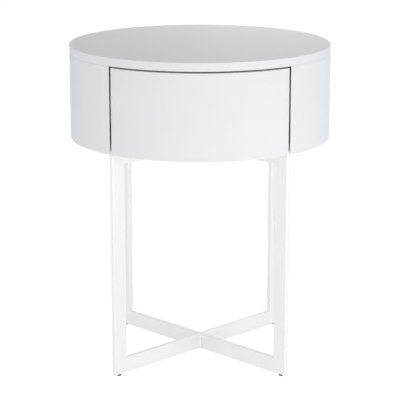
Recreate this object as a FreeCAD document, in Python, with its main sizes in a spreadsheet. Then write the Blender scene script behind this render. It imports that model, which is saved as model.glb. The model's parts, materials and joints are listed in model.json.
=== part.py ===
import FreeCAD, Part
import math
import os
import Sketcher

# A round bedside table: a drum with one curved drawer, carried by two crossed frames of
# rectangular steel tube. The origin is on the floor, under the middle of the drum. The
# drawer opens towards -Y, +X is to the right seen from the front, and +Z is up.

SIZES = (
    ("drum_diameter", 500, "drum and top, across"),
    ("drum_wall", 15, "thickness of the bent wall and of the curved drawer front"),
    ("drum_height", 163.5, "wall of the drum, without the top"),
    ("top_thickness", 16, "round top"),
    ("floor_thickness", 12, "round floor of the drum"),
    ("floor_recess", 3, "how far the floor lies above the wall's lower edge"),
    ("floor_setback", 3.5, "room behind the drawer front, to push it in"),
    ("cheek_width", 85.2, "bent wall on each side of the drawer front, seen from the front"),
    ("front_gap", 2, "gap beside and above the drawer front"),
    ("edge_chamfer", 0.6, "broken edge of lacquered panels"),
    ("partition_thickness", 12, "upright panel that carries a runner"),
    ("partition_setback", 0.2, "face of a partition, out from the wall's cut end"),
    ("glue_gap", 0.1, "room for glue where curved faces meet"),
    ("frame_inset", 2.5, "corners of the frame, in from the inside of the wall"),
    ("frame_height", 439.5, "frame, lower face to upper face"),
    ("bar_width", 30, "tube, across the wide face"),
    ("bar_depth", 10, "tube, across the narrow face"),
    ("bar_wall", 1.5, "tube wall"),
    ("bar_corner", 2, "outer corner radius of the tube"),
    ("weld_leg", 4, "weld bead at the crossing"),
    ("bolt_circle", 250, "circle of the bolts between frame and drum"),
    ("bolt_diameter", 5, "bolt shank"),
    ("bolt_clearance", 0.25, "radial room of a bolt in its hole"),
    ("bolt_head_width", 8, "bolt head, across flats"),
    ("bolt_head_height", 3.5, "bolt head"),
    ("bolt_grip", 9, "bolt length in the floor"),
    ("glide_inset", 12.7, "levelling glide, in from the frame's corner"),
    ("glide_head_diameter", 9, "levelling glide, head"),
    ("glide_head_height", 3, "levelling glide, head"),
    ("glide_stem_diameter", 4, "levelling glide, threaded stem"),
    ("glide_stem_length", 12, "levelling glide, threaded stem"),
    ("thread_clearance", 0.08, "radial room between stem and nut"),
    ("nut_clearance", 0.1, "between a glide's weld nut and the tube's walls"),
    ("nut_height", 3.2, "weld nut of a glide"),
    ("stem_clearance", 0.4, "radial room between stem and tube"),
    ("drawer_lift", 8, "between the floor of the drum and the drawer box"),
    ("drawer_headroom", 22, "between the drawer box and the top"),
    ("drawer_board", 12, "sides and back of the drawer box"),
    ("drawer_bottom_thickness", 6, "drawer bottom"),
    ("groove_lift", 7, "groove for the drawer bottom, above the sides' lower edge"),
    ("groove_depth", 5, "groove for the drawer bottom"),
    ("block_width", 20, "glue block behind the drawer front, across"),
    ("block_length", 28, "glue block, along the drawer side"),
    ("block_height", 60, "glue block"),
    ("runner_front_room", 5.3, "from a runner's front end to the wall, along the partition"),
    ("runner_rear_room", 29.3, "from a runner's rear end to the wall, along the partition"),
    ("runner_tail", 5, "runner behind the drawer box"),
    ("runner_height", 45, "runner"),
    ("runner_steel", 1.2, "web of a runner member"),
    ("web_gap", 1.2, "between two members' webs, with a cage's web in it"),
    ("member_clearance", 0.7, "between the middle member and the drawer member's web"),
    ("race_flange", 1.6, "flange with one ball race"),
    ("middle_flange", 2.2, "flange of the middle member, with a race on both faces"),
    ("race_depth", 0.5, "ball race, into the flange"),
    ("race_lip", 3, "flange beyond the middle of its race"),
    ("race_shoulder", 0.3, "between the middle member's web and the outer race"),
    ("ball_diameter", 4, "ball"),
    ("ball_clearance", 0.1, "room between ball and race, and ball and cage"),
    ("cage_steel", 0.6, "web of a ball cage"),
    ("cage_flange", 1, "ball strip of a cage"),
    ("cage_rim", 0.5, "cage beyond a ball's hole"),
    ("cage_length", 140, "ball cage"),
    ("ball_pitch", 44, "from ball to ball in a cage"),
    ("slot_length", 9, "screw slot in a runner's web, along the runner"),
    ("slot_width", 4.5, "screw slot in a runner's web"),
    ("slot_inset", 37, "middle of a screw slot, in from the end of the member"),
    ("latch_width", 16, "push latch"),
    ("latch_length", 58, "push latch, housing"),
    ("latch_height", 18, "push latch, housing"),
    ("latch_spacer", 16, "block that lifts the latch to the drawer's back"),
    ("plunger_diameter", 7, "push latch, plunger"),
    ("plunger_length", 46, "push latch, plunger"),
    ("plunger_reach", 5, "plunger ahead of its housing with the drawer shut"),
    ("plunger_room", 4, "bore behind the plunger"),
    ("plunger_clearance", 0.3, "plunger to its bore and to the drawer's back"),
    ("overrun", 2, "how far a cutter passes the face that it cuts"),
)
ARMS = ("back_right", "back_left", "front_left", "front_right")
SIDES = (("left", -1), ("right", 1))
BALL_STEPS = (-1, 0, 1)
BALL_SIDES = 8
BALL_BANDS = 4
HEXAGON_SIDES = 6
QUARTER_TURN = 90

doc = FreeCAD.newDocument("bedside_table")
sheet = doc.addObject("Spreadsheet::Sheet", "sizes")
for row, (alias, value, note) in enumerate(SIZES, start=1):
    sheet.set(f"A{row}", note)
    sheet.set(f"B{row}", str(value))
    sheet.setAlias(f"B{row}", alias)
doc.recompute()


def size(expression):
    """The value of an expression in the sheet's names, in millimetres."""
    return float(sheet.evalExpression(expression))


def chord(radius, x):
    """How far from the drum's middle line a circle is at a width x, as an expression."""
    return f"sqrt(({radius}) ^ 2 - ({x}) ^ 2)"


def arm_angle(arm):
    """The arms point midway between the axes, a quarter turn apart and anticlockwise."""
    return QUARTER_TURN * (ARMS.index(arm) + 1 / 2)


def out_along(distance, angle):
    """The place at a distance from the drum's axis, in a direction given in degrees."""
    return f"{distance} * cos({angle})", f"{distance} * sin({angle})"


# Heights above the floor
FRAME_Z = "sizes.glide_head_height"
FRAME_TOP = f"({FRAME_Z} + sizes.frame_height)"
DRUM_Z = f"({FRAME_TOP} - sizes.floor_recess)"
DRUM_TOP = f"({DRUM_Z} + sizes.drum_height)"
FLOOR_TOP = f"({FRAME_TOP} + sizes.floor_thickness)"
DRAWER_Z = f"({FLOOR_TOP} + sizes.drawer_lift)"
DRAWER_TOP = f"({DRUM_TOP} - sizes.drawer_headroom)"
BOTTOM_Z = f"({DRAWER_Z} + sizes.groove_lift)"
BOTTOM_TOP = f"({BOTTOM_Z} + sizes.drawer_bottom_thickness)"
RUNNER_Z = f"(({DRAWER_Z} + {DRAWER_TOP}) / 2)"

# Radii about the drum's axis. The seats leave room for glue inside the bent wall.
DRUM_R = "(sizes.drum_diameter / 2)"
INNER_R = f"({DRUM_R} - sizes.drum_wall)"
SEAT_R = f"({INNER_R} - sizes.glue_gap)"
REACH = f"({INNER_R} - sizes.frame_inset)"
SPAN = f"(2 * {REACH})"

# A runner across its thickness, from the partition: the three webs, and between them the
# lines of the two rows of balls
RACE_R = "(sizes.ball_diameter / 2 + sizes.ball_clearance)"
MIDDLE_WEB = "(sizes.runner_steel + sizes.web_gap)"
MIDDLE_FACE = f"({MIDDLE_WEB} + sizes.runner_steel)"
OUTER_LINE = f"({MIDDLE_FACE} + sizes.race_shoulder + {RACE_R})"
INNER_LINE = f"({MIDDLE_FACE} + sizes.web_gap + sizes.race_lip)"
RUNNER_THICKNESS = f"({INNER_LINE} + sizes.race_lip + sizes.member_clearance + sizes.runner_steel)"

# Widths from the middle plane: the opening, and the drawer box between its runners
OPENING_X = f"({DRUM_R} - sizes.cheek_width)"
FRONT_X = f"({OPENING_X} - sizes.front_gap)"
PARTITION_X = f"({OPENING_X} + sizes.partition_setback)"
BOX_X = f"({PARTITION_X} - {RUNNER_THICKNESS})"
INSIDE_X = f"({BOX_X} - sizes.drawer_board)"

# Depths from the drum's axis: the runners fill the partition's length, less their room
RUNNER_FRONT = f"({chord(INNER_R, PARTITION_X)} - sizes.runner_front_room)"
RUNNER_REAR = f"({chord(INNER_R, PARTITION_X)} - sizes.runner_rear_room)"
RUNNER_LENGTH = f"({RUNNER_FRONT} + {RUNNER_REAR})"
DRAWER_REAR = f"({RUNNER_REAR} - sizes.runner_tail)"


def new_body(label):
    body = doc.addObject("PartDesign::Body", label)
    body.Label = label
    return body


def new_sketch(body, role, offset="0"):
    """An empty sketch on one of the body's own planes, moved along the plane's normal."""
    sketch = body.newObject("Sketcher::SketchObject", f"{body.Name}_sketch")
    plane = next(feature for feature in body.Origin.OriginFeatures if feature.Role == role)
    sketch.AttachmentSupport = (plane, [""])
    sketch.MapMode = "FlatFace"
    sketch.setExpression("AttachmentOffset.Base.z", offset)
    return sketch


def bind(sketch, kind, expression, *geometry):
    """A driving dimension of a sketch, tied to the sheet."""
    index = sketch.addConstraint(Sketcher.Constraint(kind, *geometry, size(expression)))
    sketch.setExpression(f"Constraints[{index}]", expression)


def stretch(sketch, corner, here, there):
    """One side of an outline; gives its index and the numbers of its first and last point."""
    if len(corner) == 2:
        return sketch.addGeometry(Part.LineSegment(here, there)), 1, 2
    radius, way = corner[2:]
    first, last = (here, there) if way > 0 else (there, here)
    circle = Part.Circle(FreeCAD.Vector(), FreeCAD.Vector(0, 0, 1), size(radius))
    arc = Part.ArcOfCircle(circle, math.atan2(first.y, first.x), math.atan2(last.y, last.x))
    index = sketch.addGeometry(arc)
    sketch.addConstraint(Sketcher.Constraint("Coincident", index, 3, -1, 1))
    bind(sketch, "Radius", radius, index)
    return (index, 1, 2) if way > 0 else (index, 2, 1)


def draw(sketch, corners):
    """A closed outline. A corner is (x, y), or (x, y, radius, way) where an arc about the
    sketch's origin runs on to the next corner, anticlockwise for a way of 1."""
    points = [FreeCAD.Vector(size(corner[0]), size(corner[1]), 0) for corner in corners]
    following = points[1:] + points[:1]
    sides = [stretch(sketch, *side) for side in zip(corners, points, following)]
    for number, (corner, side) in enumerate(zip(corners, sides)):
        before = sides[number - 1]
        sketch.addConstraint(Sketcher.Constraint("Coincident", before[0], before[2], *side[:2]))
        bind(sketch, "DistanceX", corner[0], -1, 1, *side[:2])
        if len(corner) == 2 and len(corners[number - 1]) == 2:
            bind(sketch, "DistanceY", corner[1], -1, 1, *side[:2])


def draw_rectangle(sketch, left, right, near, far):
    draw(sketch, ((left, near), (right, near), (right, far), (left, far)))


def draw_circle(sketch, radius, across="0", along="0"):
    centre = FreeCAD.Vector(size(across), size(along), 0)
    index = sketch.addGeometry(Part.Circle(centre, FreeCAD.Vector(0, 0, 1), size(radius)))
    bind(sketch, "DistanceX", across, -1, 1, index, 3)
    bind(sketch, "DistanceY", along, -1, 1, index, 3)
    bind(sketch, "Radius", radius, index)


def pad(body, sketch, length):
    feature = body.newObject("PartDesign::Pad", f"{body.Name}_pad")
    feature.Profile = sketch
    feature.setExpression("Length", length)
    doc.recompute()


def cut(body, sketch, length, reverse=False, midplane=False):
    """A pocket, which has to take something away."""
    before = body.Shape.Volume
    feature = body.newObject("PartDesign::Pocket", f"{body.Name}_pocket")
    feature.Profile = sketch
    feature.Reversed = reverse
    feature.Midplane = midplane
    feature.setExpression("Length", length)
    doc.recompute()
    if not body.Shape.Volume < before:
        raise RuntimeError(f"{feature.Name} cuts nothing")


def break_rims(body):
    """A small chamfer on the edges that run round the outside of the drum."""
    outside, near = size(DRUM_R), size("sizes.glue_gap")
    rims = [f"Edge{number}" for number, edge in enumerate(body.Shape.Edges, start=1)
            if edge.Curve.TypeId == "Part::GeomCircle" and abs(edge.Curve.Radius - outside) < near]
    base = body.Tip
    feature = body.newObject("PartDesign::Chamfer", f"{body.Name}_chamfer")
    feature.Base = (base, rims)
    feature.setExpression("Size", "sizes.edge_chamfer")
    doc.recompute()


def place(piece, x="0", y="0", z="0", rotation=None):
    for axis, expression in zip("xyz", (x, y, z)):
        piece.setExpression(f"Placement.Base.{axis}", expression)
    if rotation:
        piece.Placement.Rotation = rotation


def about(axis, degrees):
    return FreeCAD.Rotation(FreeCAD.Vector(*axis), degrees)


def about_z(degrees):
    return about((0, 0, 1), degrees)


def solid(kind, name, sizes, x="0", y="0", z="0", rotation=None):
    """A Part primitive with its sizes tied to the sheet."""
    piece = doc.addObject(kind, name)
    for key, expression in sizes.items():
        piece.setExpression(key, expression)
    place(piece, x, y, z, rotation)
    return piece


def hexagon(name, across_flats, height, x, y, z, rotation=None):
    """A hexagonal block; the radius to its corners is the width over the root of three."""
    block = solid("Part::Prism", name, {"Circumradius": f"{across_flats} / sqrt(3)", "Height": height},
                  x, y, z, rotation)
    block.Polygon = HEXAGON_SIDES
    return block


def fuse(name, pieces):
    fused = doc.addObject("Part::MultiFuse", name)
    fused.Shapes = pieces
    return fused


def take_away(name, base, tool):
    remainder = doc.addObject("Part::Cut", name)
    remainder.Label = name
    remainder.Base = base
    remainder.Tool = tool
    return remainder


def group(label, pieces):
    """Like pieces that share a node, each its own solid."""
    compound = doc.addObject("Part::Compound", label)
    compound.Label = label
    compound.Links = pieces
    return compound


# Drum: top, bent wall, floor and the two partitions
def top_panel():
    body = new_body("top_panel")
    sketch = new_sketch(body, "XY_Plane")
    draw_circle(sketch, DRUM_R)
    pad(body, sketch, "sizes.top_thickness")
    break_rims(body)
    place(body, z=DRUM_TOP)
    return body


def drum_shell():
    body = new_body("drum_shell")
    sketch = new_sketch(body, "XY_Plane")
    outside = f"-{chord(DRUM_R, OPENING_X)}"
    inside = f"-{chord(INNER_R, OPENING_X)}"
    draw(sketch, (
        (OPENING_X, outside, DRUM_R, 1),
        (f"-{OPENING_X}", outside),
        (f"-{OPENING_X}", inside, INNER_R, -1),
        (OPENING_X, inside),
    ))
    pad(body, sketch, "sizes.drum_height")
    break_rims(body)
    place(body, z=DRUM_Z)
    return body


def floor_panel():
    """The floor's edge stands back a little where the drawer front hangs before it."""
    body = new_body("floor_panel")
    sketch = new_sketch(body, "XY_Plane")
    front_r = f"({INNER_R} - sizes.floor_setback)"
    draw(sketch, (
        (OPENING_X, f"-{chord(SEAT_R, OPENING_X)}", SEAT_R, 1),
        (f"-{OPENING_X}", f"-{chord(SEAT_R, OPENING_X)}"),
        (f"-{OPENING_X}", f"-{chord(front_r, OPENING_X)}", front_r, 1),
        (OPENING_X, f"-{chord(front_r, OPENING_X)}"),
    ))
    pad(body, sketch, "sizes.floor_thickness")
    holes = new_sketch(body, "XY_Plane")
    for arm in ARMS:
        draw_circle(holes, BOLT_HOLE_R, *out_along(BOLT_R, arm_angle(arm)))
    cut(body, holes, "sizes.bolt_grip + sizes.bolt_clearance", reverse=True)
    place(body, z=FRAME_TOP)
    return body


def partition(side, sign):
    """An upright board whose ends follow the bent wall."""
    body = new_body(f"partition_{side}")
    near, far = PARTITION_X, f"({PARTITION_X} + sizes.partition_thickness)"
    sketch = new_sketch(body, "XY_Plane")
    draw(sketch, (
        (near, f"-{chord(SEAT_R, near)}", SEAT_R, 1),
        (far, f"-{chord(SEAT_R, far)}"),
        (far, chord(SEAT_R, far), SEAT_R, 1),
        (near, chord(SEAT_R, near)),
    ))
    pad(body, sketch, f"{DRUM_TOP} - {FLOOR_TOP}")
    place(body, z=FLOOR_TOP, rotation=about_z(QUARTER_TURN * (1 - sign)))
    return body


# Frame: mitred tubes. A tube lies along its local X axis, with the frame's outer side at
# z = 0 and the frame's inside at z = bar_width.
BOLT_R = "(sizes.bolt_circle / 2)"
BOLT_HOLE_R = "(sizes.bolt_diameter / 2 + sizes.bolt_clearance)"
STEM_HOLE_R = "(sizes.glide_stem_diameter / 2 + sizes.stem_clearance)"
BARS = (("long", "front_left", True), ("back_left", "back_left", False),
        ("front_right", "front_right", False))


def rounded_outline(sketch):
    """The tube's outline: four corner arcs, joined by four sides."""
    radius = "sizes.bar_corner"
    side = f"(sizes.bar_depth / 2 - {radius})"
    high = f"sizes.bar_width - {radius}"
    centres = ((side, high), (f"-{side}", high), (f"-{side}", radius), (side, radius))
    arcs = []
    for quarter, (across, along) in enumerate(centres):
        circle = Part.Circle(FreeCAD.Vector(size(across), size(along), 0),
                             FreeCAD.Vector(0, 0, 1), size(radius))
        arc = Part.ArcOfCircle(circle, math.radians(QUARTER_TURN * quarter),
                               math.radians(QUARTER_TURN * (quarter + 1)))
        arcs.append((sketch.addGeometry(arc), arc))
    for quarter, (index, arc) in enumerate(arcs):
        next_index, next_arc = arcs[(quarter + 1) % len(arcs)]
        line = sketch.addGeometry(Part.LineSegment(arc.EndPoint, next_arc.StartPoint))
        sketch.addConstraint(Sketcher.Constraint("Tangent", index, 2, line, 1))
        sketch.addConstraint(Sketcher.Constraint("Tangent", line, 2, next_index, 1))
        sketch.addConstraint(Sketcher.Constraint("Vertical" if quarter % 2 else "Horizontal", line))
        bind(sketch, "Radius", radius, index)
    for quarter in (0, 2):
        across, along = centres[quarter]
        bind(sketch, "DistanceX", across, -1, 1, arcs[quarter][0], 3)
        bind(sketch, "DistanceY", along, -1, 1, arcs[quarter][0], 3)


def tube(label, length, mitres):
    """A tube with mitred ends. A mitre is (start, way): the cut begins on the outer side at
    the start, and runs along the X axis for a way of 1, or back for a way of -1."""
    body = new_body(label)
    sketch = new_sketch(body, "YZ_Plane")
    rounded_outline(sketch)
    bore = "(sizes.bar_depth / 2 - sizes.bar_wall)"
    draw_rectangle(sketch, f"-{bore}", bore, "sizes.bar_wall", "sizes.bar_width - sizes.bar_wall")
    pad(body, sketch, length)
    for start, way in mitres:
        sketch = new_sketch(body, "XZ_Plane")
        outer, inner = "-sizes.overrun", "sizes.bar_width + sizes.overrun"
        draw(sketch, (
            (f"{start} + {way} * ({outer})", outer),
            (f"{start} + {way} * ({inner})", inner),
            (f"{start} + {way} * ({outer})", inner),
        ))
        cut(body, sketch, "sizes.bar_depth + sizes.overrun", midplane=True)
    return body


def drill(body, radius, at, through, depth):
    """A hole from a tube's outer side, and its mirror image in a bar that runs through."""
    sketch = new_sketch(body, "XY_Plane")
    draw_circle(sketch, radius, at)
    if through:
        draw_circle(sketch, radius, f"{SPAN} - ({at})")
    cut(body, sketch, depth, reverse=True)


def uprights():
    pieces = []
    for arm in ARMS:
        angle = arm_angle(arm)
        upright = tube(f"upright_{arm}", "sizes.frame_height", (("0", 1), ("sizes.frame_height", -1)))
        place(upright, *out_along(REACH, angle), FRAME_Z, about_z(angle) * about((0, 1, 0), -QUARTER_TURN))
        pieces.append(upright)
    return pieces


def bars():
    """Below and above, one bar runs through, and two halves butt against its sides."""
    pieces = []
    for name, arm, through in BARS:
        length = SPAN if through else f"({REACH} - sizes.bar_depth / 2)"
        mitres = (("0", 1), (SPAN, -1)) if through else (("0", 1),)
        corner = out_along(REACH, arm_angle(arm))
        inward = about_z(arm_angle(arm) + 2 * QUARTER_TURN)
        base = tube(f"base_bar_{name}", length, mitres)
        drill(base, STEM_HOLE_R, "sizes.glide_inset", through, "sizes.bar_wall + sizes.overrun")
        place(base, *corner, FRAME_Z, inward)
        top = tube(f"top_bar_{name}", length, mitres)
        drill(top, BOLT_HOLE_R, f"{REACH} - {BOLT_R}", through, "sizes.bar_width + sizes.overrun")
        place(top, *corner, FRAME_TOP, inward * about((1, 0, 0), 2 * QUARTER_TURN))
        pieces += [base, top]
    return pieces


def crossing_welds():
    """A bead in each of the four corners where the bars cross, below and above."""
    beads = []
    leg, rise = "sizes.weld_leg", "sizes.bar_width - 2 * sizes.bar_corner"
    sizes = {"Xmax": leg, "Ymax": leg, "Zmax": rise, "Z2max": rise,
             "Xmin": "0", "Ymin": "0", "Zmin": "0", "X2min": "0", "X2max": "0", "Z2min": "0"}
    for level, bottom in (("base", FRAME_Z), ("top", f"({FRAME_TOP} - sizes.bar_width)")):
        for quarter in range(4):
            angle = QUARTER_TURN * quarter
            beads.append(solid("Part::Wedge", f"bead_{level}_{quarter}", sizes,
                               *out_along("sizes.bar_depth / sqrt(2)", angle),
                               f"{bottom} + sizes.bar_corner", about_z(angle - QUARTER_TURN / 2)))
    return group("crossing_welds", beads)


def frame_bolts():
    """Hexagon bolts, up through the upper bars into the floor of the drum."""
    bolts = []
    under = f"{FRAME_TOP} - sizes.bar_width"
    for arm in ARMS:
        x, y = out_along(BOLT_R, arm_angle(arm))
        head = hexagon(f"bolt_head_{arm}", "sizes.bolt_head_width", "sizes.bolt_head_height",
                       x, y, f"{under} - sizes.bolt_head_height")
        shank = solid("Part::Cylinder", f"bolt_shank_{arm}",
                      {"Radius": "sizes.bolt_diameter / 2", "Height": "sizes.bar_width + sizes.bolt_grip"},
                      x, y, under)
        bolts.append(fuse(f"bolt_{arm}", [head, shank]))
    return group("frame_bolts", bolts)


# Feet: a nut welded into each corner of the frame, and a levelling glide that screws into it
def foot_place(arm):
    return out_along(f"({REACH} - sizes.glide_inset)", arm_angle(arm))


def glide_nuts():
    """The nuts' flats lie along the tube's walls, with a little room."""
    nuts = []
    inside = f"({FRAME_Z} + sizes.bar_wall)"
    width = "(sizes.bar_depth - 2 * sizes.bar_wall - 2 * sizes.nut_clearance)"
    for arm in ARMS:
        x, y = foot_place(arm)
        blank = hexagon(f"nut_blank_{arm}", width, "sizes.nut_height", x, y, inside,
                        about_z(arm_angle(arm)))
        bore = solid("Part::Cylinder", f"nut_bore_{arm}",
                     {"Radius": "sizes.glide_stem_diameter / 2 + sizes.thread_clearance",
                      "Height": "sizes.nut_height + 2 * sizes.overrun"},
                     x, y, f"{inside} - sizes.overrun")
        nuts.append(take_away(f"nut_{arm}", blank, bore))
    return group("glide_nuts", nuts)


def glide(arm):
    x, y = foot_place(arm)
    head = solid("Part::Cylinder", f"glide_head_{arm}",
                 {"Radius": "sizes.glide_head_diameter / 2", "Height": "sizes.glide_head_height"}, x, y)
    stem = solid("Part::Cylinder", f"glide_stem_{arm}",
                 {"Radius": "sizes.glide_stem_diameter / 2",
                  "Height": "sizes.glide_stem_length"}, x, y, "sizes.glide_head_height")
    return fuse(f"glide_{arm}", [head, stem])


# Drawer: curved front, two sides, back, bottom in its groove, and two glue blocks
def drawer_front():
    body = new_body("drawer_front")
    sketch = new_sketch(body, "XY_Plane")
    outside = f"-{chord(DRUM_R, FRONT_X)}"
    inside = f"-{chord(INNER_R, FRONT_X)}"
    draw(sketch, (
        (f"-{FRONT_X}", outside, DRUM_R, 1),
        (FRONT_X, outside),
        (FRONT_X, inside, INNER_R, -1),
        (f"-{FRONT_X}", inside),
    ))
    pad(body, sketch, "sizes.drum_height - sizes.front_gap")
    break_rims(body)
    groove = new_sketch(body, "XY_Plane", f"{BOTTOM_Z} - {DRUM_Z}")
    end, bed = f"({INSIDE_X} + sizes.groove_depth)", f"({INNER_R} + sizes.groove_depth)"
    mouth = f"({INNER_R} - sizes.overrun)"
    draw(groove, (
        (f"-{end}", f"-{chord(bed, end)}", bed, 1),
        (end, f"-{chord(bed, end)}"),
        (end, f"-{chord(mouth, end)}", mouth, -1),
        (f"-{end}", f"-{chord(mouth, end)}"),
    ))
    cut(body, groove, "sizes.drawer_bottom_thickness", reverse=True)
    place(body, z=DRUM_Z)
    return body


def drawer_side(side, sign):
    """A side board; its front end follows the curved front, and a groove takes the bottom."""
    body = new_body(f"drawer_side_{side}")
    sketch = new_sketch(body, "XY_Plane")
    left, right = (INSIDE_X, BOX_X) if sign > 0 else (f"(-{BOX_X})", f"(-{INSIDE_X})")
    draw(sketch, (
        (left, f"-{chord(SEAT_R, left)}", SEAT_R, 1),
        (right, f"-{chord(SEAT_R, right)}"),
        (right, DRAWER_REAR),
        (left, DRAWER_REAR),
    ))
    pad(body, sketch, f"{DRAWER_TOP} - {DRAWER_Z}")
    groove = new_sketch(body, "XY_Plane", "sizes.groove_lift")
    draw_rectangle(groove, f"{sign} * ({INSIDE_X} - sizes.overrun)",
                   f"{sign} * ({INSIDE_X} + sizes.groove_depth)",
                   f"-{DRUM_R}", f"{DRAWER_REAR} + sizes.overrun")
    cut(body, groove, "sizes.drawer_bottom_thickness", reverse=True)
    place(body, z=DRAWER_Z)
    return body


def drawer_back():
    body = new_body("drawer_back")
    sketch = new_sketch(body, "XY_Plane")
    draw_rectangle(sketch, f"-{INSIDE_X}", INSIDE_X, f"{DRAWER_REAR} - sizes.drawer_board", DRAWER_REAR)
    pad(body, sketch, f"{DRAWER_TOP} - {BOTTOM_TOP}")
    place(body, z=BOTTOM_TOP)
    return body


def drawer_bottom():
    body = new_body("drawer_bottom")
    sketch = new_sketch(body, "XY_Plane")
    edge_x = f"({INSIDE_X} + sizes.groove_depth - sizes.glue_gap)"
    front_r = f"({INNER_R} + sizes.groove_depth - sizes.glue_gap)"
    draw(sketch, (
        (f"-{edge_x}", f"-{chord(front_r, edge_x)}", front_r, 1),
        (edge_x, f"-{chord(front_r, edge_x)}"),
        (edge_x, DRAWER_REAR),
        (f"-{edge_x}", DRAWER_REAR),
    ))
    pad(body, sketch, "sizes.drawer_bottom_thickness")
    place(body, z=BOTTOM_Z)
    return body


def glue_block(side, sign):
    """A block in the corner between the curved front and a side."""
    body = new_body(f"glue_block_{side}")
    sketch = new_sketch(body, "XY_Plane")
    reach = f"({INSIDE_X} - sizes.block_width)"
    left, right = (reach, INSIDE_X) if sign > 0 else (f"(-{INSIDE_X})", f"(-{reach})")
    rear = f"-{chord(SEAT_R, INSIDE_X)} + sizes.block_length"
    draw(sketch, (
        (left, f"-{chord(SEAT_R, left)}", SEAT_R, 1),
        (right, f"-{chord(SEAT_R, right)}"),
        (right, rear),
        (left, rear),
    ))
    pad(body, sketch, "sizes.block_height")
    place(body, z=BOTTOM_TOP)
    return body


# Runners. A member lies along its local X axis. Its local Y runs from the partition to the
# drawer side, and its middle is at z = 0. Balls roll in races in the flanges: an outer row
# between cabinet member and middle member, an inner row between middle member and drawer
# member. Each height below is the next one in from the runner's edge.
OUTER_FLAT = "(sizes.runner_height / 2 - sizes.race_flange)"
OUTER_HEIGHT = f"({OUTER_FLAT} + sizes.race_depth - {RACE_R})"
MIDDLE_TOP = f"(2 * {OUTER_HEIGHT} - {OUTER_FLAT})"
MIDDLE_FLAT = f"({MIDDLE_TOP} - sizes.middle_flange)"
INNER_HEIGHT = f"({MIDDLE_FLAT} + sizes.race_depth - {RACE_R})"
DRAWER_MEMBER_TOP = f"(2 * {INNER_HEIGHT} - {MIDDLE_FLAT})"
OUTER_RACE = (OUTER_LINE, OUTER_HEIGHT)
INNER_RACE = (INNER_LINE, INNER_HEIGHT)
CAGE_START = f"(({RUNNER_LENGTH} - sizes.cage_length) / 2)"


def seat(piece, sign, front, length):
    """Puts a runner piece in place, its front end this far behind the runner's front end."""
    begin = f"(-{RUNNER_FRONT} + {front})"
    if sign > 0:
        place(piece, PARTITION_X, begin, RUNNER_Z, about_z(QUARTER_TURN))
    else:
        place(piece, f"-{PARTITION_X}", f"{begin} + {length}", RUNNER_Z, about_z(-QUARTER_TURN))


def channel(label, back, mouth, web, top, flange, length):
    """A channel with its web at the back, and flanges towards the mouth."""
    body = new_body(label)
    sketch = new_sketch(body, "YZ_Plane")
    front = f"{back} + {web}"
    draw(sketch, (
        (back, f"-{top}"),
        (mouth, f"-{top}"),
        (mouth, f"-{top} + {flange}"),
        (front, f"-{top} + {flange}"),
        (front, f"{top} - {flange}"),
        (mouth, f"{top} - {flange}"),
        (mouth, top),
        (back, top),
    ))
    pad(body, sketch, length)
    return body


def cut_races(body, races):
    """Round grooves for the balls, along the lower and the upper flange."""
    for line, height in races:
        sketch = new_sketch(body, "YZ_Plane")
        draw_circle(sketch, RACE_R, line, height)
        draw_circle(sketch, RACE_R, line, f"-{height}")
        cut(body, sketch, RUNNER_LENGTH, reverse=True)


def screw_slots(body, web_middle):
    """Two slots through a member's web, for the screws into the wood."""
    sketch = new_sketch(body, "XZ_Plane", f"-({web_middle})")
    for at in ("sizes.slot_inset", f"({RUNNER_LENGTH} - sizes.slot_inset)"):
        draw_rectangle(sketch, f"{at} - sizes.slot_length / 2", f"{at} + sizes.slot_length / 2",
                       "-sizes.slot_width / 2", "sizes.slot_width / 2")
    cut(body, sketch, "2 * sizes.runner_steel", midplane=True)


def cabinet_member(side):
    member = channel(f"runner_{side}_cabinet_member", "0", f"{OUTER_LINE} + sizes.race_lip",
                     "sizes.runner_steel", "(sizes.runner_height / 2)", "sizes.race_flange",
                     RUNNER_LENGTH)
    cut_races(member, (OUTER_RACE,))
    screw_slots(member, "sizes.runner_steel / 2")
    return member


def middle_member(side):
    member = channel(f"runner_{side}_middle_member", MIDDLE_WEB, f"{INNER_LINE} + sizes.race_lip",
                     "sizes.runner_steel", MIDDLE_TOP, "sizes.middle_flange", RUNNER_LENGTH)
    cut_races(member, (OUTER_RACE, INNER_RACE))
    return member


def drawer_member(side):
    member = channel(f"runner_{side}_drawer_member", RUNNER_THICKNESS, f"{INNER_LINE} - sizes.race_lip",
                     "-sizes.runner_steel", DRAWER_MEMBER_TOP, "sizes.race_flange", RUNNER_LENGTH)
    cut_races(member, (INNER_RACE,))
    screw_slots(member, f"{RUNNER_THICKNESS} - sizes.runner_steel / 2")
    return member


def runner(side, sign):
    members = [cabinet_member(side), middle_member(side), drawer_member(side)]
    for member in members:
        seat(member, sign, "0", RUNNER_LENGTH)
    return members


def cage(label, sign, line, height, gap_start):
    """A thin channel that spaces the balls, with a window for each of them. Its web runs in
    the middle of the gap between two members' webs."""
    top = f"({height} + sizes.cage_flange / 2)"
    web = f"({gap_start} + (sizes.web_gap - sizes.cage_steel) / 2)"
    body = channel(label, web, f"{line} + {RACE_R} + sizes.cage_rim", "sizes.cage_steel", top,
                   "sizes.cage_flange", "sizes.cage_length")
    sketch = new_sketch(body, "XY_Plane", f"-{top} - sizes.overrun")
    for step in BALL_STEPS:
        middle = f"sizes.cage_length / 2 + {step} * sizes.ball_pitch"
        draw_rectangle(sketch, f"{middle} - {RACE_R}", f"{middle} + {RACE_R}",
                       f"{line} - {RACE_R}", f"{line} + {RACE_R}")
    cut(body, sketch, f"2 * {top} + 2 * sizes.overrun", reverse=True)
    seat(body, sign, CAGE_START, "sizes.cage_length")
    return body


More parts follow.
